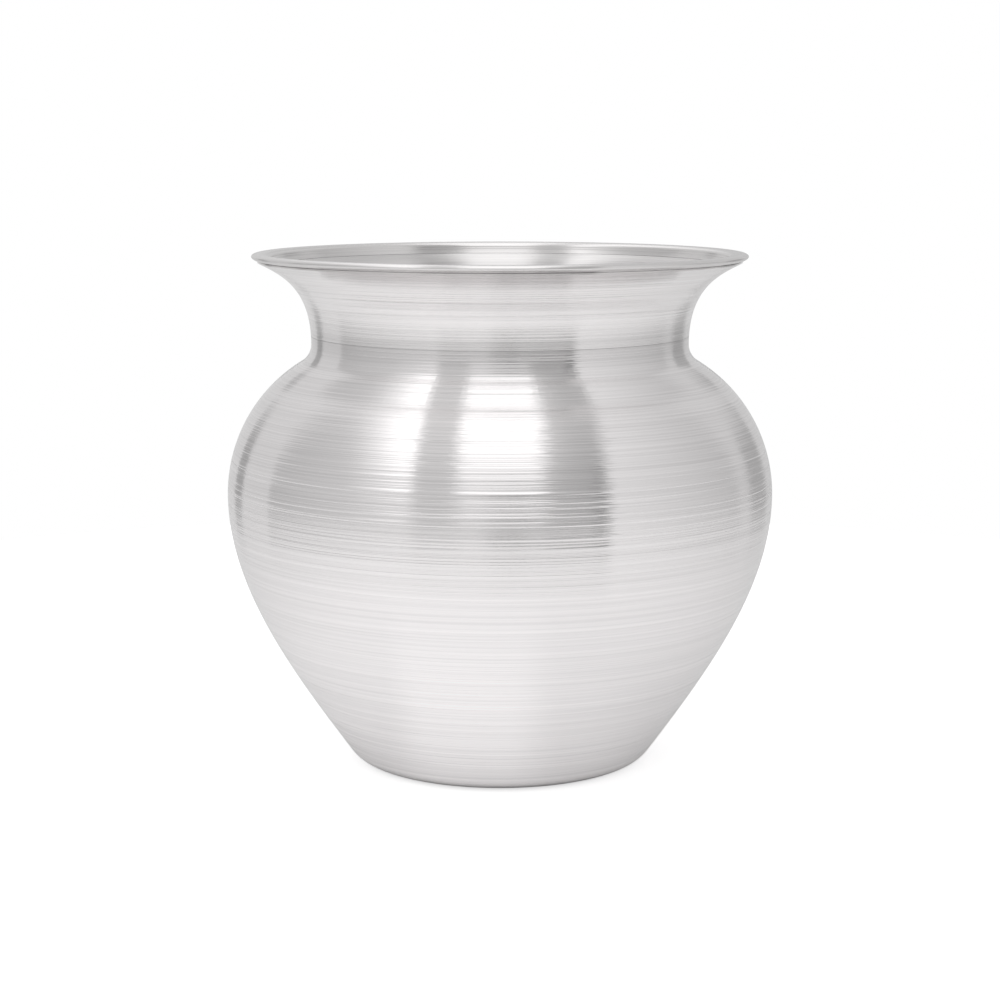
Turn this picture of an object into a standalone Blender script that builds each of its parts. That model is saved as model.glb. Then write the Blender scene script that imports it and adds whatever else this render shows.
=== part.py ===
"""Lota: a small round-bodied water pot of brushed silver sheet, with a flared mouth and a beaded rim.

The pot is raised from sheet in three pieces: a flat-based lower bowl, a domed shoulder and a flared
neck collar. The upper edge of the bowl and of the shoulder is stepped in by one sheet, so that the next
piece sleeves over it with its outside flush, and a fillet of solder closes each lap on the inside. An oval
wire with a rebate sits over the edge of the mouth. The pot turns about Z and stands on z = 0.
"""

import math

import bmesh
import bpy

# Driving dimensions, in metres and degrees. Radii and curves are those of the outside of the pot, a pull is
# how far a curve keeps to its end's direction. The shares are of the neck's height and a fillet's depth.
SHEET = 0.0009
SOLDER_GAP = 0.00015

BASE_RADIUS = 0.02375
BASE_CORNER_RADIUS = 0.0055
DISH_RADIUS = 0.0200
DISH_RISE = 0.0008

WALL_LEAN = 35.7
WALL_PULL = 0.0202
BELLY_RADIUS = 0.0500
BELLY_HEIGHT = 0.0497
BELLY_PULL = 0.0160

SHOULDER_RADIUS = 0.0281
CREASE_RADIUS = 0.0040
NECK_RADIUS = 0.03445
NECK_SEAM_RISE = 0.0015
NECK_PULL = 0.00985

MOUTH_RADIUS = 0.0440
MOUTH_HEIGHT = 0.0920
MOUTH_LEAN = 64.3
MOUTH_PULL = 0.0051

GIRTH_LAP = 0.0040
NECK_LAP_SHARE = 0.3
STEP_RUN = 0.0012
SOLDER_LEG = 0.0008
SOLDER_HOLLOW = 0.3

RIM_WIDTH = 0.0034
RIM_THICKNESS = 0.0014
RIM_TILT = 6.0
RIM_SET_BACK = 0.00017
RIM_LIFT = 0.00022

# Facets around the pot, and along each curve of its outline
FACETS = 60
CORNER_STEPS = 4
WALL_STEPS = 10
DISH_STEPS = 3
SHOULDER_STEPS = 8
CREASE_STEPS = 3
NECK_STEPS = 9
RIM_STEPS = 12
SMOOTH_ANGLE = 30.0
WELD = 0.000001


def blend(low, high, share):
    """A point a share of the way from low to high."""
    return tuple(a + (b - a) * share for a, b in zip(low, high))


def arc(centre, radius, start, end, steps):
    """Points along a circular arc, with angles in radians from the +r direction."""
    points = []
    for index in range(steps + 1):
        angle = start + (end - start) * index / steps
        points.append((centre[0] + radius * math.cos(angle), centre[1] + radius * math.sin(angle)))
    return points


def pulled_curve(start, start_handle, end_handle, end, steps):
    """Points along a cubic curve that leaves start and reaches end along its two handles."""
    points = []
    for index in range(steps + 1):
        share = index / steps
        near = blend(start, start_handle, share)
        middle = blend(start_handle, end_handle, share)
        far = blend(end_handle, end, share)
        points.append(blend(blend(near, middle, share), blend(middle, far, share), share))
    return points


def leaning(lean):
    """The unit direction, in the outline's plane, that leans outwards from the vertical."""
    return math.sin(math.radians(lean)), math.cos(math.radians(lean))


def moved(point, direction, distance):
    return point[0] + direction[0] * distance, point[1] + direction[1] * distance


def outside_outline():
    """The outside of the pot from the edge of its flat base up to the edge of the mouth."""
    wall = leaning(WALL_LEAN)
    corner = arc((BASE_RADIUS, BASE_CORNER_RADIUS), BASE_CORNER_RADIUS,
                 -math.pi / 2, -math.radians(WALL_LEAN), CORNER_STEPS)
    belly = (BELLY_RADIUS, BELLY_HEIGHT)
    bowl = pulled_curve(corner[-1], moved(corner[-1], wall, WALL_PULL),
                        (BELLY_RADIUS, BELLY_HEIGHT - BELLY_PULL), belly, WALL_STEPS)

    # The crease is a fillet that touches the round shoulder and the upright foot of the neck
    dome = (BELLY_RADIUS - SHOULDER_RADIUS, BELLY_HEIGHT)
    crease_reach = NECK_RADIUS + CREASE_RADIUS - dome[0]
    crease_rise = math.sqrt((SHOULDER_RADIUS + CREASE_RADIUS) ** 2 - crease_reach ** 2)
    touch = math.atan2(crease_rise, crease_reach)
    shoulder = arc(dome, SHOULDER_RADIUS, 0.0, touch, SHOULDER_STEPS)
    crease_centre = (NECK_RADIUS + CREASE_RADIUS, BELLY_HEIGHT + crease_rise)
    crease = arc(crease_centre, CREASE_RADIUS, touch + math.pi, math.pi, CREASE_STEPS)

    foot = crease[-1]
    mouth = (MOUTH_RADIUS, MOUTH_HEIGHT)
    neck = pulled_curve(foot, (NECK_RADIUS, foot[1] + NECK_PULL),
                        moved(mouth, leaning(MOUTH_LEAN), -MOUTH_PULL), mouth, NECK_STEPS)
    return corner + bowl[1:] + shoulder[1:] + crease[1:] + neck[1:], foot[1]


def moved_in(outline, distance):
    """The outline moved towards the inside of the pot, square to itself."""
    points = []
    last = len(outline) - 1
    for index, point in enumerate(outline):
        before = outline[max(index - 1, 0)]
        after = outline[min(index + 1, last)]
        run = (after[0] - before[0], after[1] - before[1])
        length = math.hypot(*run)
        points.append(moved(point, (-run[1] / length, run[0] / length), distance))
    # The base is level and the mouth's edge is cut square, whatever the slope of the nearest facet
    points[0] = moved(outline[0], (0.0, 1.0), distance)
    rise, reach = leaning(MOUTH_LEAN)
    points[last] = moved(outline[last], (-reach, rise), distance)
    return points


def at_height(outline, height):
    """The point of a rising outline at a height."""
    for low, high in zip(outline, outline[1:]):
        if low[1] <= height <= high[1]:
            return blend(low, high, (height - low[1]) / (high[1] - low[1]))
    raise ValueError("the outline doesn't reach this height")


def between(outline, low, high):
    """The stretch of a rising outline between two heights, from the bottom up."""
    inner_points = [point for point in outline if low + WELD < point[1] < high - WELD]
    return [at_height(outline, low)] + inner_points + [at_height(outline, high)]


def above(outline, low):
    return between(outline, low, outline[-1][1])


def below(outline, high):
    return between(outline, outline[0][1], high)


OUTSIDE, NECK_FOOT = outside_outline()
INSIDE = moved_in(OUTSIDE, SHEET)
LAP_OUTSIDE = moved_in(OUTSIDE, SHEET + SOLDER_GAP)
LAP_INSIDE = moved_in(OUTSIDE, 2 * SHEET + SOLDER_GAP)
GIRTH_SEAM = BELLY_HEIGHT
NECK_SEAM = NECK_FOOT + NECK_SEAM_RISE
# The lap fills the upright foot of the neck and stops short of its flare
NECK_LAP = NECK_LAP_SHARE * (MOUTH_HEIGHT - NECK_SEAM)


def silver(name, colour, roughness):
    material = bpy.data.materials.new(name)
    material.use_nodes = True
    shader = material.node_tree.nodes["Principled BSDF"]
    shader.inputs["Base Color"].default_value = (*colour, 1.0)
    shader.inputs["Metallic"].default_value = 1.0
    shader.inputs["Roughness"].default_value = roughness
    return material


def turned(name, outline, seat, colour, roughness, closed=True):
    """A piece turned about Z from its outline, with its origin on the axis at its seat's height."""
    shape = bmesh.new()
    corners = [shape.verts.new((radius, 0.0, height - seat)) for radius, height in outline]
    edges = [shape.edges.new(pair) for pair in zip(corners, corners[1:])]
    if closed:
        edges.append(shape.edges.new((corners[-1], corners[0])))
    bmesh.ops.spin(shape, geom=corners + edges, cent=(0.0, 0.0, 0.0), axis=(0.0, 0.0, 1.0),
                   angle=2 * math.pi, steps=FACETS, use_merge=True)
    bmesh.ops.remove_doubles(shape, verts=shape.verts[:], dist=WELD)
    bmesh.ops.recalc_face_normals(shape, faces=shape.faces[:])
    mesh = bpy.data.meshes.new(name)
    shape.to_mesh(mesh)
    shape.free()
    mesh.shade_smooth()
    mesh.set_sharp_from_angle(angle=math.radians(SMOOTH_ANGLE))
    mesh.materials.append(silver(name + "_silver", colour, roughness))
    piece = bpy.data.objects.new(name, mesh)
    piece.location = (0.0, 0.0, seat)
    bpy.context.scene.collection.objects.link(piece)
    return piece


def stepped_top(seam, lap):
    """The lap of a sheet that goes up inside the next one: its inside from the step up, its outside down."""
    inner_side = [at_height(INSIDE, seam - STEP_RUN)] + between(LAP_INSIDE, seam, seam + lap)
    outer_side = between(LAP_OUTSIDE, seam, seam + lap)[::-1]
    return inner_side, outer_side


def dish(rise):
    """The dished middle of the base, from the axis out to its flat standing ring."""
    points = []
    for index in range(DISH_STEPS + 1):
        share = index / DISH_STEPS
        points.append((DISH_RADIUS * share, rise + DISH_RISE * (1 - share ** 2)))
    return points


def lower_bowl():
    """The bowl from its dished base to the girth, with a lap that goes up inside the shoulder."""
    lap_inside, lap_outside = stepped_top(GIRTH_SEAM, GIRTH_LAP)
    inner_wall = dish(SHEET) + below(INSIDE, GIRTH_SEAM - STEP_RUN)[:-1] + lap_inside
    outer_wall = lap_outside + below(OUTSIDE, GIRTH_SEAM)[::-1] + dish(0.0)[::-1]
    return turned("lower_bowl", inner_wall + outer_wall, 0.0, (0.83, 0.81, 0.79), 0.30, closed=False)


def shoulder():
    """The dome from the girth to the foot of the neck, with a lap that goes up inside the neck collar."""
    foot = GIRTH_SEAM + SOLDER_GAP
    lap_inside, lap_outside = stepped_top(NECK_SEAM, NECK_LAP)
    inner_wall = between(INSIDE, foot, NECK_SEAM - STEP_RUN)[:-1] + lap_inside
    outer_wall = lap_outside + between(OUTSIDE, foot, NECK_SEAM)[::-1]
    return turned("shoulder", inner_wall + outer_wall, GIRTH_SEAM, (0.84, 0.82, 0.80), 0.28)


def neck_collar():
    """The flared neck, from its seam on the shoulder's lap to the edge of the mouth."""
    foot = NECK_SEAM + SOLDER_GAP
    outline = above(INSIDE, foot) + above(OUTSIDE, foot)[::-1]
    return turned("neck_collar", outline, NECK_SEAM, (0.84, 0.82, 0.80), 0.28)


def rim_ring():
    """The oval wire round the mouth. A rebate the size of the sheet's edge lets it hook over that edge."""
    edge = OUTSIDE[-1]
    along = leaning(MOUTH_LEAN)
    across = (-along[1], along[0])
    seat = SHEET + SOLDER_GAP
    centre = moved(moved(edge, along, -RIM_SET_BACK), across, SHEET + RIM_LIFT)

    # The oval's long and short half axes, as seen from the sheet's edge: along the sheet and square to it
    tilt = math.radians(RIM_TILT)
    long_half = (math.cos(tilt) * RIM_WIDTH / 2, math.sin(tilt) * RIM_WIDTH / 2)
    short_half = (-math.sin(tilt) * RIM_THICKNESS / 2, math.cos(tilt) * RIM_THICKNESS / 2)

    def reach(direction):
        long_part = long_half[0] * direction[0] + long_half[1] * direction[1]
        short_part = short_half[0] * direction[0] + short_half[1] * direction[1]
        return math.atan2(short_part, long_part), math.hypot(long_part, short_part)

    # The rebate cuts the oval where it meets the sheet's upper face, and again just past the sheet's edge
    square_turn, square_reach = reach(across)
    toe = square_turn + math.acos((seat - SHEET - RIM_LIFT) / square_reach)
    along_turn, along_reach = reach(along)
    lip = along_turn - math.acos((SOLDER_GAP + RIM_SET_BACK) / along_reach)
    outline = []
    for index in range(RIM_STEPS + 1):
        turn = toe + (lip - toe) * index / RIM_STEPS
        outline.append(moved(moved(centre, long_half, math.cos(turn)), short_half, math.sin(turn)))
    outline.append(moved(moved(edge, along, SOLDER_GAP), across, seat))
    return turned("rim_ring", outline, MOUTH_HEIGHT, (0.86, 0.84, 0.82), 0.22)


def lap_solder(name, seam, lap):
    """A fillet of solder that lies on the top of a lap, in the corner with the wall outside it."""
    foot = seam + lap + SOLDER_GAP
    wall_side = between(LAP_OUTSIDE, foot, foot + SOLDER_LEG)
    corner = wall_side[0]
    toe = (corner[0] - SOLDER_LEG, corner[1])
    hollow = blend(blend(toe, wall_side[-1], 0.5), corner, SOLDER_HOLLOW)
    return turned(name, [toe, hollow] + wall_side[::-1], foot, (0.74, 0.72, 0.66), 0.45)


def main():
    for thing in list(bpy.data.objects):
        bpy.data.objects.remove(thing, do_unlink=True)
    pot = bpy.data.objects.new("lota", None)
    bpy.context.scene.collection.objects.link(pot)
    pieces = [
        lower_bowl(),
        shoulder(),
        neck_collar(),
        rim_ring(),
        lap_solder("girth_solder", GIRTH_SEAM, GIRTH_LAP),
        lap_solder("neck_solder", NECK_SEAM, NECK_LAP),
    ]
    for piece in pieces:
        piece.parent = pot


main()
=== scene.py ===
# %% [markdown]
# # A lota in brushed silver
# The pot is a small round water vessel of silver sheet. Its real construction, in solids, comes with the
# frame that is loaded here. This lesson dresses it: smooth turned sheets, a brushed finish and a studio.

# %% Load the frame
import math

import bpy
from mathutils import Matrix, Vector


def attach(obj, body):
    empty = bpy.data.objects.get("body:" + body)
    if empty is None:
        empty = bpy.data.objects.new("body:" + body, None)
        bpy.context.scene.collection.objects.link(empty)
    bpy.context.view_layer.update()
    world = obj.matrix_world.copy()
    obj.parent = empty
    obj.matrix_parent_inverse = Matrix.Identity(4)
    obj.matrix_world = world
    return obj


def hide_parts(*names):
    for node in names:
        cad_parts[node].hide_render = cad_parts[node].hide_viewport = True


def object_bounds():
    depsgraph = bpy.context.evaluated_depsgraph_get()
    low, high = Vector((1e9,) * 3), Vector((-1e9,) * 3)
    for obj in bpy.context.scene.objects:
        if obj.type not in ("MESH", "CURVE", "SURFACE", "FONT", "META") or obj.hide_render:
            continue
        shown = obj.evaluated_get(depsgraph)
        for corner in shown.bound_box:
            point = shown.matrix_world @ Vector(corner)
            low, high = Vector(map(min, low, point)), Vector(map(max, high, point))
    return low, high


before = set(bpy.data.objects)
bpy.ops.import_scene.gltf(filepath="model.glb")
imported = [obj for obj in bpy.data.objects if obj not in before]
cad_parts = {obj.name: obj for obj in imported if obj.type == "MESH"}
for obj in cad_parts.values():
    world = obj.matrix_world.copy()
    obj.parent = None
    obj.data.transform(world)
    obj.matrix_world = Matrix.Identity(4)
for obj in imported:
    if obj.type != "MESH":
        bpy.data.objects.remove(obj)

cad_low, cad_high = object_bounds()
print("nodes:", sorted(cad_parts), "height in mm:", round(1000 * (cad_high.z - cad_low.z), 2))

# %% [markdown]
# ## The sizes of the pot
# A turned pot is fully described by half of its outline. These few radii, heights and leans are those of
# the outside of the sheet, in metres and radians. A pull is how far a curve keeps to its end's direction.
# The radius of the belly, the widest place, is read from the frame.

# %% Sizes
SHEET = 0.0009
BASE_RADIUS = 0.02375
BASE_CORNER_RADIUS = 0.0055
DISH_RADIUS = 0.0200
DISH_RISE = 0.0008
WALL_LEAN = math.radians(35.7)
WALL_PULL = 0.0202
BELLY_RADIUS = cad_high.x
BELLY_HEIGHT = 0.0497
BELLY_PULL = 0.0160
SHOULDER_RADIUS = 0.0281
CREASE_RADIUS = 0.0040
NECK_RADIUS = 0.03445
NECK_SEAM_RISE = 0.0015
NECK_PULL = 0.00985
MOUTH_RADIUS = 0.0440
MOUTH_HEIGHT = 0.0920
MOUTH_LEAN = math.radians(64.3)
MOUTH_PULL = 0.0051
LAP = 0.0040
LAP_GAP = 0.00015
LAP_FLARE = 0.0003
print("belly across in mm:", round(2000 * BELLY_RADIUS, 2))

# %% [markdown]
# ## Strokes of the outline
# By hand, one would draw the outline with the pen tool: each stretch is a Bezier curve with a handle at
# each end. A circular arc is such a curve too, if its handles have the right length. Each stretch gets its
# own number of steps, so that the long wall is fine and the short corners aren't wasteful.

# %% Points, directions and arcs
HALVINGS = 40


def leaning(lean):
    """The direction in the outline's plane that leans outwards from the vertical."""
    return Vector((math.sin(lean), math.cos(lean)))


def arc_stroke(centre, radius, start, end, steps):
    """An arc as a Bezier stroke. Angles are measured from the outward direction."""
    reach = 4 / 3 * math.tan((end - start) / 4) * radius
    first = centre + radius * Vector((math.cos(start), math.sin(start)))
    last = centre + radius * Vector((math.cos(end), math.sin(end)))
    first_handle = first + reach * Vector((-math.sin(start), math.cos(start)))
    last_handle = last - reach * Vector((-math.sin(end), math.cos(end)))
    return first, first_handle, last_handle, last, steps


def straight_stroke(first, last, steps=1):
    return first, first.lerp(last, 1 / 3), first.lerp(last, 2 / 3), last, steps


def split_stroke(stroke, height):
    """Cuts a rising stroke in two at a height, by halving the parameter until it is found."""
    first, first_handle, last_handle, last, steps = stroke
    low, high = 0.0, 1.0
    for _ in range(HALVINGS):
        share = (low + high) / 2
        a = first.lerp(first_handle, share)
        b = first_handle.lerp(last_handle, share)
        c = last_handle.lerp(last, share)
        d = a.lerp(b, share)
        e = b.lerp(c, share)
        cut = d.lerp(e, share)
        if cut.y < height:
            low = share
        else:
            high = share
    lower = (first, a, d, cut, max(1, round(steps * share)))
    upper = (cut, e, c, last, max(1, round(steps * (1 - share))))
    return lower, upper


quarter = arc_stroke(Vector((0, 0)), 1, 0, math.pi / 2, 1)
print("handles of a quarter circle, as a share of its radius:", round((quarter[1] - quarter[0]).length, 3))

# %% [markdown]
# The outside of the pot is six strokes: the rounded corner of the base, the wall, the round shoulder, the
# crease, and the neck, which is cut in two where the collar is joined on.

# %% The outside of the pot
CORNER_STEPS = 12
WALL_STEPS = 150
SHOULDER_STEPS = 90
CREASE_STEPS = 12
NECK_STEPS = 60

corner_stroke = arc_stroke(Vector((BASE_RADIUS, BASE_CORNER_RADIUS)), BASE_CORNER_RADIUS,
                           -math.pi / 2, -WALL_LEAN, CORNER_STEPS)
wall_start = corner_stroke[3]
belly = Vector((BELLY_RADIUS, BELLY_HEIGHT))
wall_stroke = (wall_start, wall_start + WALL_PULL * leaning(WALL_LEAN),
               belly - Vector((0, BELLY_PULL)), belly, WALL_STEPS)
dome = Vector((BELLY_RADIUS - SHOULDER_RADIUS, BELLY_HEIGHT))
crease_reach = NECK_RADIUS + CREASE_RADIUS - dome.x
crease_rise = math.sqrt((SHOULDER_RADIUS + CREASE_RADIUS) ** 2 - crease_reach ** 2)
touch = math.atan2(crease_rise, crease_reach)
shoulder_stroke = arc_stroke(dome, SHOULDER_RADIUS, 0, touch, SHOULDER_STEPS)
crease_centre = dome + Vector((crease_reach, crease_rise))
crease_stroke = arc_stroke(crease_centre, CREASE_RADIUS, touch + math.pi, math.pi, CREASE_STEPS)
neck_foot = crease_stroke[3]
mouth = Vector((MOUTH_RADIUS, MOUTH_HEIGHT))
neck_stroke = (neck_foot, neck_foot + Vector((0, NECK_PULL)),
               mouth - MOUTH_PULL * leaning(MOUTH_LEAN), mouth, NECK_STEPS)
NECK_SEAM = neck_foot.y + NECK_SEAM_RISE
foot_stroke, flare_stroke = split_stroke(neck_stroke, NECK_SEAM)
print("neck seam at mm:", round(1000 * NECK_SEAM, 2), "neck foot at mm:", round(1000 * neck_foot.y, 2))

# %% [markdown]
# ## Turning an outline into a sheet
# The strokes are drawn as one curve object, made a mesh, and spun round Z in edit mode, as on a lathe. The
# doubles where the spin closes are merged and the normals are made to point out. Then a Solidify modifier
# gives the sheet its thickness towards the inside. Its material offset gives the inside a second slot, for
# a rougher silver whose darker colour is painted shade in the hollow.

# %% Drawing and spinning
TURNS = 224
WELD = 0.000002
SMOOTH_ANGLE = math.radians(35)


def only(piece):
    """Selects one piece alone, and makes it the active one."""
    bpy.ops.object.select_all(action="DESELECT")
    piece.select_set(True)
    bpy.context.view_layer.objects.active = piece


def drawn_outline(name, strokes):
    """A mesh of edges along the strokes, in the XZ plane."""
    bpy.ops.object.select_all(action="DESELECT")
    bpy.ops.curve.primitive_bezier_curve_add()
    piece = bpy.context.active_object
    piece.name = name
    curve = piece.data
    curve.splines.remove(curve.splines[0])
    for first, first_handle, last_handle, last, steps in strokes:
        spline = curve.splines.new("BEZIER")
        spline.bezier_points.add(1)
        spline.resolution_u = steps
        for point, place, left, right in zip(spline.bezier_points, (first, last),
                                             (first, last_handle), (first_handle, last)):
            point.handle_left_type = point.handle_right_type = "FREE"
            point.co = (place.x, 0, place.y)
            point.handle_left = (left.x, 0, left.y)
            point.handle_right = (right.x, 0, right.y)
    only(piece)
    bpy.ops.object.convert(target="MESH")
    return bpy.context.active_object


def spun(piece):
    """Spins an outline round Z and closes the seam and the pole."""
    only(piece)
    bpy.ops.object.mode_set(mode="EDIT")
    bpy.ops.mesh.select_all(action="SELECT")
    bpy.ops.mesh.remove_doubles(threshold=WELD)
    bpy.ops.mesh.spin(steps=TURNS, angle=2 * math.pi, center=(0, 0, 0), axis=(0, 0, 1))
    bpy.ops.mesh.select_all(action="SELECT")
    bpy.ops.mesh.remove_doubles(threshold=WELD)
    bpy.ops.mesh.normals_make_consistent(inside=False)
    bpy.ops.object.mode_set(mode="OBJECT")
    return piece


def outward(piece):
    """True if the widest face of a turned sheet points away from the axis."""
    face = max(piece.data.polygons, key=lambda f: Vector((f.center.x, f.center.y)).length)
    return face.normal.x * face.center.x + face.normal.y * face.center.y > 0


def turned_sheet(name, strokes):
    """A sheet of the pot, turned from the outside outline and thickened towards the inside."""
    piece = spun(drawn_outline(name, strokes))
    if not outward(piece):
        bpy.ops.object.mode_set(mode="EDIT")
        bpy.ops.mesh.select_all(action="SELECT")
        bpy.ops.mesh.flip_normals()
        bpy.ops.object.mode_set(mode="OBJECT")
    bpy.ops.object.material_slot_add()
    bpy.ops.object.material_slot_add()
    wall = piece.modifiers.new("wall", "SOLIDIFY")
    wall.thickness = SHEET
    wall.offset = -1
    wall.use_even_offset = True
    wall.material_offset = 1
    bpy.ops.object.modifier_apply(modifier="wall")
    bpy.ops.object.shade_smooth_by_angle(angle=SMOOTH_ANGLE)
    print(name, "faces:", len(piece.data.polygons), "outward:", outward(piece))
    return piece


# %% [markdown]
# ## The three sheets
# The lower bowl goes from its dished base to the girth, and there steps in by one sheet, so that the
# shoulder sleeves over it. The shoulder goes over the crease to the foot of the neck and steps in under the
# neck collar. The collar starts a hair above its step, which leaves the fine dark joint line that runs
# round the foot of the neck, while the joint at the girth was brushed away.

# %% Lower bowl
DISH_STEPS = 10
STANDING_STEPS = 3
GIRTH_LAP_STEPS = 8

base_centre = Vector((0, DISH_RISE))
dish_edge = Vector((DISH_RADIUS, 0))
dish_stroke = (base_centre, base_centre + Vector((DISH_RADIUS / 3, 0)),
               dish_edge + Vector((-DISH_RADIUS / 3, DISH_RISE / 3)), dish_edge, DISH_STEPS)
standing_stroke = straight_stroke(dish_edge, Vector((BASE_RADIUS, 0)), STANDING_STEPS)
step_in = SHEET + LAP_GAP
lap_bend = SHOULDER_RADIUS - step_in
girth_lap = arc_stroke(dome, lap_bend, 0, math.asin(LAP / lap_bend), GIRTH_LAP_STEPS)
bowl = turned_sheet("bowl_sheet", [dish_stroke, standing_stroke, corner_stroke, wall_stroke,
                                   straight_stroke(belly, girth_lap[0]), girth_lap])

# %% Shoulder and neck collar
NECK_LAP_STEPS = 6
HAIRLINE = 0.00004

seam_edge = foot_stroke[3]
lap_foot = seam_edge - Vector((step_in, 0))
lap_head = lap_foot + Vector((LAP_FLARE, LAP))
shoulder = turned_sheet("shoulder_sheet", [shoulder_stroke, crease_stroke, foot_stroke,
                                           straight_stroke(seam_edge, lap_foot),
                                           straight_stroke(lap_foot, lap_head, NECK_LAP_STEPS)])
collar_stroke = split_stroke(flare_stroke, NECK_SEAM + HAIRLINE)[1]
collar = turned_sheet("collar_sheet", [collar_stroke])

# %% [markdown]
# ## The rim
# The edge of the mouth is stiffened by an oval wire. It has a rebate the size of the sheet's edge, so that
# it hooks over that edge. On the inside a heel of solder fills the crevice between the wire and the sheet.
# The section is a closed outline, so it is spun as it is and needs no thickness.

# %% Rim wire
RIM_WIDTH = 0.0034
RIM_THICKNESS = 0.0014
RIM_TILT = math.radians(6)
RIM_SET_BACK = 0.00017
RIM_LIFT = 0.00022
RIM_GAP = 0.00010
RIM_STEPS = 40
RIM_HEEL_HEIGHT = 0.0907
RIM_HEEL_GAP = 0.00003

along = leaning(MOUTH_LEAN)
across = Vector((-along.y, along.x))
rim_centre = mouth - RIM_SET_BACK * along + (SHEET + RIM_LIFT) * across
long_half = RIM_WIDTH / 2 * Vector((math.cos(RIM_TILT), math.sin(RIM_TILT)))
short_half = RIM_THICKNESS / 2 * Vector((-math.sin(RIM_TILT), math.cos(RIM_TILT)))


def oval_turn(direction, distance):
    """How far round the oval a line square to a direction cuts it, as a middle angle and a spread."""
    long_part = long_half.dot(direction)
    short_part = short_half.dot(direction)
    return math.atan2(short_part, long_part), math.acos(distance / math.hypot(long_part, short_part))


# The oval runs from its inner nose over the top to the lip, just past the edge of the sheet
middle, spread = oval_turn(along, RIM_GAP + RIM_SET_BACK)
lip = middle - spread
oval = []
for index in range(RIM_STEPS + 1):
    turn = math.pi + (lip - math.pi) * index / RIM_STEPS
    oval.append(rim_centre + math.cos(turn) * long_half + math.sin(turn) * short_half)
rebate = mouth + RIM_GAP * along + (SHEET + RIM_GAP) * across
inner_stroke = split_stroke(flare_stroke, RIM_HEEL_HEIGHT)[0]
heel_along = (inner_stroke[3] - inner_stroke[2]).normalized()
heel = inner_stroke[3] + (SHEET + RIM_HEEL_GAP) * Vector((-heel_along.y, heel_along.x))
section = [heel] + oval + [rebate, heel]
rim = spun(drawn_outline("rim_wire", [straight_stroke(a, b) for a, b in zip(section, section[1:])]))
bpy.ops.object.shade_smooth_by_angle(angle=SMOOTH_ANGLE)
bpy.ops.object.material_slot_add()
print("rim_wire faces:", len(rim.data.polygons), "outward:", outward(rim))

# %% [markdown]
# ## Writing shader maths as expressions
# A wire wraps one output of a node. Adding or multiplying two wires adds a Math node, so a formula reads as
# it would on paper. Every other node comes from one method, which sets its options first and its sockets
# next.

# %% Wires
class Wire:
    """An output of a shader node, with operators that add Math nodes."""

    def __init__(self, tree, socket=None):
        self.tree = tree
        self.socket = socket

    def node(self, kind, settings=None, values=None, output=0):
        """Adds a node of a kind, with its settings and the values or wires of its sockets."""
        made = self.tree.nodes.new(kind)
        for name, value in (settings or {}).items():
            setattr(made, name, value)
        for key, value in (values or {}).items():
            if isinstance(value, Wire):
                self.tree.links.new(value.socket, made.inputs[key])
            else:
                made.inputs[key].default_value = value
        return Wire(self.tree, made.outputs[output] if len(made.outputs) else None)

    def math(self, operation, first, second):
        return self.node("ShaderNodeMath", {"operation": operation}, {0: first, 1: second})

    def __add__(self, other):
        return self.math("ADD", self, other)

    def __radd__(self, other):
        return self.math("ADD", other, self)

    def __sub__(self, other):
        return self.math("SUBTRACT", self, other)

    def __rsub__(self, other):
        return self.math("SUBTRACT", other, self)

    def __mul__(self, other):
        return self.math("MULTIPLY", self, other)

    def __rmul__(self, other):
        return self.math("MULTIPLY", other, self)

    def __truediv__(self, other):
        return self.math("DIVIDE", self, other)

    def __pow__(self, other):
        return self.math("POWER", self, other)

    def rise(self, at, soft):
        """Goes from 0 to 1, smoothly, as this value passes a mark."""
        return self.node("ShaderNodeMapRange", {"interpolation_type": "SMOOTHSTEP"},
                         {"Value": self, "From Min": at - soft, "From Max": at + soft})

    def band(self, low, high, soft):
        """Is 1 while this value lies between two marks, with soft ends."""
        return (self - low).rise(0, soft) * (high - self).rise(0, soft)

    def mixed(self, mask, other):
        """This value where the mask is 0, and the other one where it is 1."""
        return self + mask * (other - self)

    def parts(self):
        """The three numbers of a vector."""
        return [self.node("ShaderNodeSeparateXYZ", {}, {0: self}, output) for output in range(3)]


# %% [markdown]
# ## Brushed silver
# The sheet was brushed with a satin wheel while it turned, so fine scratches run round the pot. Scratches
# spread a reflection across themselves: the pot mirrors its surroundings sharply from side to side and
# smears them up and down. A constant anisotropy does that, because the shader's own tangent runs round Z.
# The scratches themselves are noise that is stretched round the axis. Its fourth input is the radius, so
# the scratches keep their spacing on the flat flare of the mouth as well as on the upright belly.

# %% Brush marks
def brush_noise(start, pitch, run, seed=0.0):
    """Noise with lines round Z: pitch is their spacing up the wall, run is how far they go round."""
    place = start.node("ShaderNodeTexCoord", {}, {}, "Object")
    x, y, z = place.parts()
    radius = (x * x + y * y) ** 0.5
    spin_x = x / radius * run
    spin_y = y / radius * run
    level = start.node("ShaderNodeCombineXYZ", {}, {0: spin_x, 1: spin_y, 2: z / pitch + seed})
    return start.node("ShaderNodeTexNoise", {"noise_dimensions": "4D"},
                      {"Vector": level, "W": radius / pitch, "Scale": 1.0, "Detail": 1.0})


# %% [markdown]
# There are fine scratches, wider grooves, and the ridges of the turning tool, which show at the girth. Hand
# work also left three zones flatter or steeper than the turned outline: the dome below the crease, the
# flare below the rim and the inside of the mouth. Each is a slow step in the relief.

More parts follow.
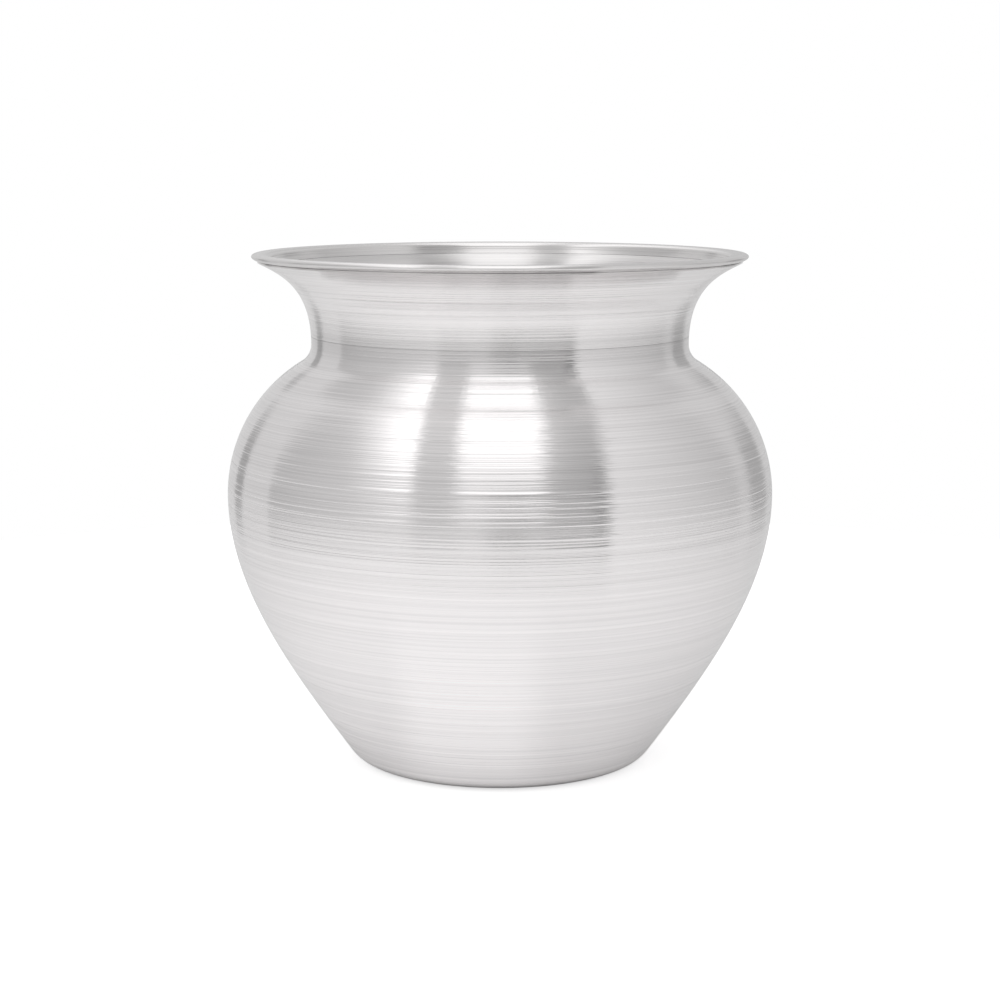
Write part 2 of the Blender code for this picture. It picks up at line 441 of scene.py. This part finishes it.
# %% Sizes of the brush marks and zones
FINE_PITCH = 0.0002
FINE_RUN = 0.5
FINE_DEPTH = 6.0
GROOVE_PITCH = 0.00032
GROOVE_RUN = 0.45
GROOVE_DEPTH = 1.5
GROOVE_SEED = 17.0
RIDGE_PITCH = 0.0007
RIDGE_RUN = 0.5
RIDGE_SEED = 31.0
RIDGE_RISE = (0.56, 0.10)
RIDGE_RELIEF = 0.00009
TILT = 0.06

# Bands up the pot: from, to and softness
GIRTH = (0.0474, 0.0590, 0.004)
CREASE = (0.0762, 0.0810, 0.0022)

# Zones: their level, half their height, and how far the relief goes up
NO_ZONE = (0, 1, 0)
DOME_ZONE = (0.0730, 0.0034, 0.0034)
FLARE_ZONE = (0.0896, 0.0028, -0.0016)
INSIDE_ZONE = (0.0893, 0.0032, 0.0020)

# How much the marks change the tone and the roughness, and how dark the painted shade in the crease is
SHADE = 0.96
SHADE_SPREAD = 0.22
CREASE_PAINTED_SHADE = 0.13
ROUGHNESS_SPREAD = 0.12
TURNED_TANGENT = 0.25
print("scratches to a millimetre:", round(0.001 / FINE_PITCH, 1))


# %% Brushed silver
def brushed_silver(name, colour, roughness, anisotropy, tilt=TILT, zone=NO_ZONE):
    """Silver with brush marks. Tilt is how steep the flanks of the fine scratches are."""
    material = bpy.data.materials.new(name)
    material.use_nodes = True
    tree = material.node_tree
    shader = tree.nodes["Principled BSDF"]
    start = Wire(tree)
    level = start.node("ShaderNodeTexCoord", {}, {}, "Object").parts()[2]

    fine = brush_noise(start, FINE_PITCH, FINE_RUN)
    groove = brush_noise(start, GROOVE_PITCH, GROOVE_RUN, GROOVE_SEED)
    ridge = brush_noise(start, RIDGE_PITCH, RIDGE_RUN, RIDGE_SEED).rise(*RIDGE_RISE)
    relief = (fine - 0.5) * (FINE_DEPTH * FINE_PITCH * tilt)
    relief = relief + (groove - 0.5) * (GROOVE_DEPTH * GROOVE_PITCH * tilt)
    relief = relief + ridge * level.band(*GIRTH) * RIDGE_RELIEF
    zone_level, zone_half, zone_relief = zone
    relief = relief + level.rise(zone_level, zone_half) * zone_relief
    bump = start.node("ShaderNodeBump", {}, {"Height": relief, "Distance": 1.0, "Strength": 1.0})

    # Painted shade: the silver is darker in a band round the crease at the foot of the neck
    shade = (SHADE + (fine + groove - 1) * SHADE_SPREAD) * (1 - level.band(*CREASE) * CREASE_PAINTED_SHADE)
    tone = start.node("ShaderNodeVectorMath", {"operation": "SCALE"}, {0: colour, "Scale": shade})
    tree.links.new(tone.socket, shader.inputs["Base Color"])
    tree.links.new((roughness + (fine - 0.5) * ROUGHNESS_SPREAD).socket, shader.inputs["Roughness"])
    tree.links.new(bump.socket, shader.inputs["Normal"])
    shader.inputs["Metallic"].default_value = 1.0
    shader.inputs["Anisotropic"].default_value = anisotropy
    shader.inputs["Anisotropic Rotation"].default_value = TURNED_TANGENT
    print(name, "nodes:", len(tree.nodes))
    return material


# %% [markdown]
# ## Five finishes
# The bowl and the shoulder share one finish. The collar's paler silver is painted light on the neck, the
# inside is rougher and its darker silver is painted shade in the hollow, the rim is drawn wire with finer
# marks, and the solder is left as it flowed.

# %% Finishes on the pieces
SILVER = (0.925, 0.904, 0.906)
# Painted light: the collar's silver is paler than the sheet's, which brightens the neck
PALE_SILVER = (0.985, 0.965, 0.965)
# The darker silver is painted shade on the inside of the pot; the rim wire is given it too
DARK_SILVER = (0.800, 0.784, 0.782)
SOLDER = (0.72, 0.70, 0.64)
WIRE_TILT = 0.03

sheet_finish = brushed_silver("sheet_silver", SILVER, roughness=0.17, anisotropy=1.0, zone=DOME_ZONE)
collar_finish = brushed_silver("collar_silver", PALE_SILVER, roughness=0.20, anisotropy=1.0,
                               zone=FLARE_ZONE)
inside_finish = brushed_silver("inside_silver", DARK_SILVER, roughness=0.30, anisotropy=0.95,
                               zone=INSIDE_ZONE)
rim_finish = brushed_silver("rim_silver", DARK_SILVER, roughness=0.24, anisotropy=0.6, tilt=WIRE_TILT)
solder_finish = brushed_silver("solder_silver", SOLDER, roughness=0.42, anisotropy=0.0, tilt=WIRE_TILT)

for piece, node, slot, finishes in (
        (bowl, "lower_bowl", "brushed_silver", (sheet_finish, inside_finish)),
        (shoulder, "shoulder", "brushed_silver", (sheet_finish, inside_finish)),
        (collar, "neck_collar", "brushed_silver", (collar_finish, inside_finish)),
        (rim, "rim_ring", "rim_silver", (rim_finish,))):
    for slot_index, face_finish in enumerate(finishes):
        piece.material_slots[slot_index].material = face_finish
    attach(piece, "root")
    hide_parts(node)
for node in ("girth_solder", "neck_solder"):
    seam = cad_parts[node]
    seam.material_slots[0].material = solder_finish
print("finishes:", [m.name for m in bpy.data.materials if "silver" in m.name])

# %% [markdown]
# ## The studio
# Polished metal is a picture of the room round it. The pot stood in a tent of pale cloth: a long white
# light overhead that comes down in front, a second white strip on the left, and greyer cloths between and
# beside them. The world draws that tent from the direction of a ray: right, near (towards the viewer) and
# up. An edge of a cloth is a straight line in the plan of directions, given by its slope and its place at
# the side.

# %% Directions and edges
SOFT = 0.006
LIGHT_RIGHT_EDGE = (0.10, 0.206)
LIGHT_LEFT_EDGE = (0.138, 0.171)
RIGHT_CLOTH_EDGE = (0.366, 0.444)
LEFT_CLOTH_EDGE = (0.317, 0.337)
LEFT_STRIP_EDGE = (0.37, 0.533)
LEFT_TAIL_EDGE = (0.37, 0.693)

scene = bpy.context.scene
world = bpy.data.worlds.new("tent")
scene.world = world
world.use_nodes = True
tent = world.node_tree
start = Wire(tent)
right, away, up = start.node("ShaderNodeTexCoord", {}, {}, "Generated").parts()
near = away * -1
left = right * -1


def sloped(line):
    """A value that changes evenly towards the viewer, from its slope and its value at the side."""
    slope, at_side = line
    return near * slope + at_side


from_right_cloth = right - sloped(RIGHT_CLOTH_EDGE)
right_cloth = from_right_cloth.rise(0, SOFT / 2)
left_cloth = (left - sloped(LEFT_CLOTH_EDGE)).rise(0, SOFT)
print("directions and cloths, nodes:", len(tent.nodes))

# %% [markdown]
# The room behind the lights is darker on the right, and lighter overhead. The two cloths are set over it.
# Just before the right cloth lies a shaded strip, and straight in front is the dark camera.

# %% Greys of the cloths
OVERHEAD = (0.3, 0.2)
ROOM_GREY = 0.43
ROOM_LIFT = 0.15
ROOM_SOFT = 0.15
ROOM_SHIFT = (0.2, 0.25)
RIGHT_CLOTH_GREY = (0.24, 0.635)
LEFT_CLOTH_GREY = (0.16, 0.56)
TOP = (0.70, 0.25)
TOP_GAIN = 0.25
STRIP_WIDTH = 0.10
STRIP_SOFT = 0.01
STRIP_HEAD = (0.5, 0.15)
STRIP_FOOT = (-0.25, 0.1)
STRIP_SHADE = 0.13
VIEWER_SIDES = (-0.10, 0.18, 0.03)
VIEWER_HEIGHT = (-0.35, 0.15, 0.06)
VIEWER_NEAR = (0.5, 0.1)
VIEWER_SHADE = 0.30

room_edge = left + up.rise(*OVERHEAD) * sloped(ROOM_SHIFT)
room = ROOM_GREY + room_edge.rise(0, ROOM_SOFT) * ROOM_LIFT
room = room.mixed(right_cloth, sloped(RIGHT_CLOTH_GREY))
room = room.mixed(left_cloth, sloped(LEFT_CLOTH_GREY))
room = room * (1 + up.rise(*TOP) * TOP_GAIN)
strip = from_right_cloth.rise(-STRIP_WIDTH, STRIP_SOFT) * (1 - right_cloth)
strip = strip * (1 - up.rise(*STRIP_HEAD)) * up.rise(*STRIP_FOOT)
viewer = right.band(*VIEWER_SIDES) * up.band(*VIEWER_HEIGHT) * near.rise(*VIEWER_NEAR)
room = (room - strip * STRIP_SHADE) * (1 - viewer * VIEWER_SHADE)
print("greys of the cloths, nodes:", len(tent.nodes))

# %% [markdown]
# Far to the left and right, past the pot, the tent is open. Those gaps are lighter, and a dark upright of
# its frame stands in each. The bearing of a ray is how much it points at the viewer, whatever its height.

# %% Gaps and uprights
LEFT_GAP = -0.358
RIGHT_GAP = -0.454
GAP_RISE = (0.4, 0.3)
GAP_LIFT = 0.06
LEFT_GAP_GREY = 0.66
RIGHT_GAP_GREY = 0.61
UPRIGHT_SOFT = 0.01
LEFT_UPRIGHT = (-0.829, -0.719, UPRIGHT_SOFT)
RIGHT_UPRIGHT = (-0.848, -0.616, UPRIGHT_SOFT)
UPRIGHT_HEIGHT = (-0.3, 0.22, 0.1)
LEFT_UPRIGHT_SHADE = 0.27
RIGHT_UPRIGHT_SHADE = 0.20
MIDDLE_SOFT = 0.05

bearing = near / (1 - up * up) ** 0.5
on_left = left.rise(0, MIDDLE_SOFT)
on_right = 1 - on_left
gap_lift = up.rise(*GAP_RISE) * GAP_LIFT
room = room.mixed(on_left * (LEFT_GAP - bearing).rise(0, UPRIGHT_SOFT), gap_lift + LEFT_GAP_GREY)
room = room.mixed(on_right * (RIGHT_GAP - bearing).rise(0, UPRIGHT_SOFT), gap_lift + RIGHT_GAP_GREY)
upright_height = up.band(*UPRIGHT_HEIGHT)
room = room - on_left * bearing.band(*LEFT_UPRIGHT) * upright_height * LEFT_UPRIGHT_SHADE
room = room - on_right * bearing.band(*RIGHT_UPRIGHT) * upright_height * RIGHT_UPRIGHT_SHADE
print("gaps and uprights, nodes:", len(tent.nodes))

# %% [markdown]
# The two white lights come last. Both get brighter upwards, and the strip on the left fades out into its
# cloth. The camera itself sees plain white, so the background is white without more light on the pot.

# %% Lights
LIGHT_BACK = (-0.80, 0.1)
LIGHT_TOP = (0.58, 0.36)
LIGHT_TOP_GAIN = 0.50
LIGHT_LOW = (0.15, 0.15)
LIGHT_LOW_GAIN = 0.15
LEFT_STRIP_SOFT = 0.16
LEFT_STRIP_TOP = (0.50, 0.30)
LEFT_STRIP_GAIN = 0.57
LEFT_TAIL_SOFT = 0.08
LEFT_TAIL_GAIN = 0.12

overhead = (sloped(LIGHT_RIGHT_EDGE) - right).rise(0, SOFT) * (sloped(LIGHT_LEFT_EDGE) - left).rise(0, SOFT)
overhead = overhead * near.rise(*LIGHT_BACK)
left_strip = left_cloth * (sloped(LEFT_STRIP_EDGE) - left).rise(0, LEFT_STRIP_SOFT)
left_tail = left_cloth * (sloped(LEFT_TAIL_EDGE) - left).rise(0, LEFT_TAIL_SOFT)
light = room + overhead * (up.rise(*LIGHT_TOP) * LIGHT_TOP_GAIN + up.rise(*LIGHT_LOW) * LIGHT_LOW_GAIN)
light = light + left_strip * up.rise(*LEFT_STRIP_TOP) * LEFT_STRIP_GAIN
light = light + left_tail * up.rise(*OVERHEAD) * LEFT_TAIL_GAIN
seen = start.node("ShaderNodeLightPath", {}, {}, "Is Camera Ray")
tent.links.new(light.mixed(seen, 1).socket, tent.nodes["Background"].inputs["Color"])
tent.nodes["Background"].inputs["Strength"].default_value = 1.0
print("the whole tent, nodes:", len(tent.nodes))

# %% [markdown]
# ## The floor
# The floor is plain and pale. Part of its whiteness is a glow towards the camera, so the shadow of the pot
# stays on it but is faint, as on a lit table. The metal sees a second glow, painted light that only its
# reflections show: it is strongest in front, has a painted beam where the overhead light would fall, and
# stops short under the foot, which paints a dark shadow line there.

# %% Floor
FLOOR_RADIUS = 0.27
FLOOR_SIDES = 96
FLOOR_DROP = 0.0001
FLOOR_GREY = 0.68
CAMERA_GLOW = 0.66
FOOT_SHADE = (0.026, 0.016)
CONTACT_SHADOW = (0.0264, 0.0012)
GLOW = 0.26
AHEAD_GLOW = 0.15
SIDE_GLOW = 0.03
FAR = (0.12, 0.06)
FAR_LOSS = 0.22
BEAM_LEFT_SLOPE = 0.78
BEAM_LEFT_SOFT = 0.010
BEAM_RIGHT_SLOPE = 0.23
BEAM_RIGHT_SOFT = 0.008
BEAM_END = (0.06, 0.03)
BEAM_GLOW = 0.11

bpy.ops.object.select_all(action="DESELECT")
bpy.ops.mesh.primitive_circle_add(vertices=FLOOR_SIDES, radius=FLOOR_RADIUS, fill_type="NGON",
                                  location=(0, 0, -FLOOR_DROP))
floor = bpy.context.active_object
floor.name = "floor"
floor_cloth = bpy.data.materials.new("floor_cloth")
floor_cloth.use_nodes = True
cloth = floor_cloth.node_tree
cloth.nodes.clear()
start = Wire(cloth)
viewed = start.node("ShaderNodeLightPath", {}, {}, "Is Camera Ray")
mirrored = start.node("ShaderNodeLightPath", {}, {}, "Is Glossy Ray")
floor_x, floor_y = start.node("ShaderNodeTexCoord", {}, {}, "Object").parts()[:2]
reach = (floor_x * floor_x + floor_y * floor_y) ** 0.5
ahead = floor_y / reach * -1
sideways = floor_x / reach
# Painted light: a beam of glow on the floor where the overhead light would fall
beam = (floor_x - floor_y * BEAM_LEFT_SLOPE).rise(0, BEAM_LEFT_SOFT)
beam = beam * (floor_y * -BEAM_RIGHT_SLOPE - floor_x).rise(0, BEAM_RIGHT_SOFT) * (1 - reach.rise(*BEAM_END))
# Painted light and shadow for the metal's reflections: brighter in front, dimmer far off, fading to a
# painted dark line round the foot
painted_mirror_glow = (GLOW + ahead * AHEAD_GLOW - sideways * SIDE_GLOW) * (1 - reach.rise(*FAR) * FAR_LOSS)
painted_mirror_glow = (painted_mirror_glow + beam * BEAM_GLOW) * reach.rise(*FOOT_SHADE) * reach.rise(*CONTACT_SHADOW)
strength = viewed * CAMERA_GLOW + mirrored * painted_mirror_glow
matt = start.node("ShaderNodeBsdfDiffuse", {}, {"Color": (FLOOR_GREY, FLOOR_GREY, FLOOR_GREY, 1)})
glow = start.node("ShaderNodeEmission", {}, {"Color": (1, 1, 1, 1), "Strength": strength})
both = start.node("ShaderNodeAddShader", {}, {0: matt, 1: glow})
start.node("ShaderNodeOutputMaterial", {}, {0: both})
floor.data.materials.append(floor_cloth)
print("floor radius in m:", FLOOR_RADIUS)

# %% [markdown]
# ## The camera
# The photo looks slightly down at the pot from a little over four times its width, with a long lens.

# %% Camera
CAMERA_DISTANCE = 0.415
CAMERA_HEIGHT = 0.1137
CAMERA_PITCH = math.radians(9)
LENS = 81.7
SENSOR_WIDTH = 36
CLIP_START = 0.01

bpy.ops.object.camera_add(location=(0, -CAMERA_DISTANCE, CAMERA_HEIGHT),
                          rotation=(math.pi / 2 - CAMERA_PITCH, 0, 0))
camera = bpy.context.active_object
camera.data.lens = LENS
camera.data.sensor_width = SENSOR_WIDTH
camera.data.clip_start = CLIP_START
scene.camera = camera
scene.view_settings.view_transform = "Standard"
print("camera distance in widths of the pot:", round(CAMERA_DISTANCE / (2 * BELLY_RADIUS), 2))
